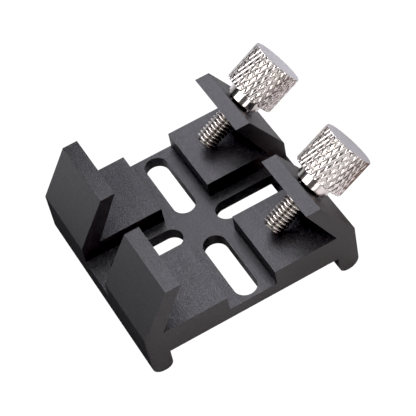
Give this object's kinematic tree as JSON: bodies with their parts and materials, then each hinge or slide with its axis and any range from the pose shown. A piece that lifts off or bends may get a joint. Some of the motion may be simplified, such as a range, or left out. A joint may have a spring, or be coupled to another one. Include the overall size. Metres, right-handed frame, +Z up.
{
  "type": "telescope finder shoe",
  "caption": "Dovetail shoe that clamps a finder scope's foot: fixed leaning jaws on one side, knurled thumbscrews through the jaws on the other.",
  "frame": {"origin": "centre of the plate's underside, midway between the two feet and between the ends", "axes": "+X across the slide from the fixed jaws towards the thumbscrews, +Y along the slide towards the rear thumbscrew, +Z up from the plate to the jaws"},
  "size_m": [0.0478, 0.038, 0.0258],
  "materials": {
    "black_anodised": "bead-blasted, black anodised",
    "nickel_knob": "bright nickel plate over a diamond knurl",
    "nickel_thread": "bright nickel plate"
  },
  "bodies": {
    "base": {"dovetail_base": "black_anodised"},
    "front_stud": {"front_thumbscrew_stud": "nickel_thread"},
    "front_knob": {"front_thumbscrew_knob": "nickel_knob"},
    "rear_stud": {"rear_thumbscrew_stud": "nickel_thread"},
    "rear_knob": {"rear_thumbscrew_knob": "nickel_knob"}
  },
  "joints": [
    {"name": "front_screw_advance", "type": "slide", "parent": "base", "child": "front_stud", "axis": [0.8501, 0, 0.5267], "range_m": [0, 0.007]},
    {"name": "front_screw_turn", "type": "hinge", "parent": "front_stud", "child": "front_knob", "pos_m": [0.01639, -0.0117, 0.01218], "axis": [0.8501, 0, 0.5267], "range_deg": [0, 3600]},
    {"name": "rear_screw_advance", "type": "slide", "parent": "base", "child": "rear_stud", "axis": [0.8501, 0, 0.5267], "range_m": [0, 0.007]},
    {"name": "rear_screw_turn", "type": "hinge", "parent": "rear_stud", "child": "rear_knob", "pos_m": [0.01639, 0.0117, 0.01218], "axis": [0.8501, 0, 0.5267], "range_deg": [0, 3600]}
  ],
  "couplings": [
    {"joint": "front_screw_turn", "follows": "front_screw_advance", "rad_per_m": 8976},
    {"joint": "rear_screw_turn", "follows": "rear_screw_advance", "rad_per_m": 8976}
  ]
}
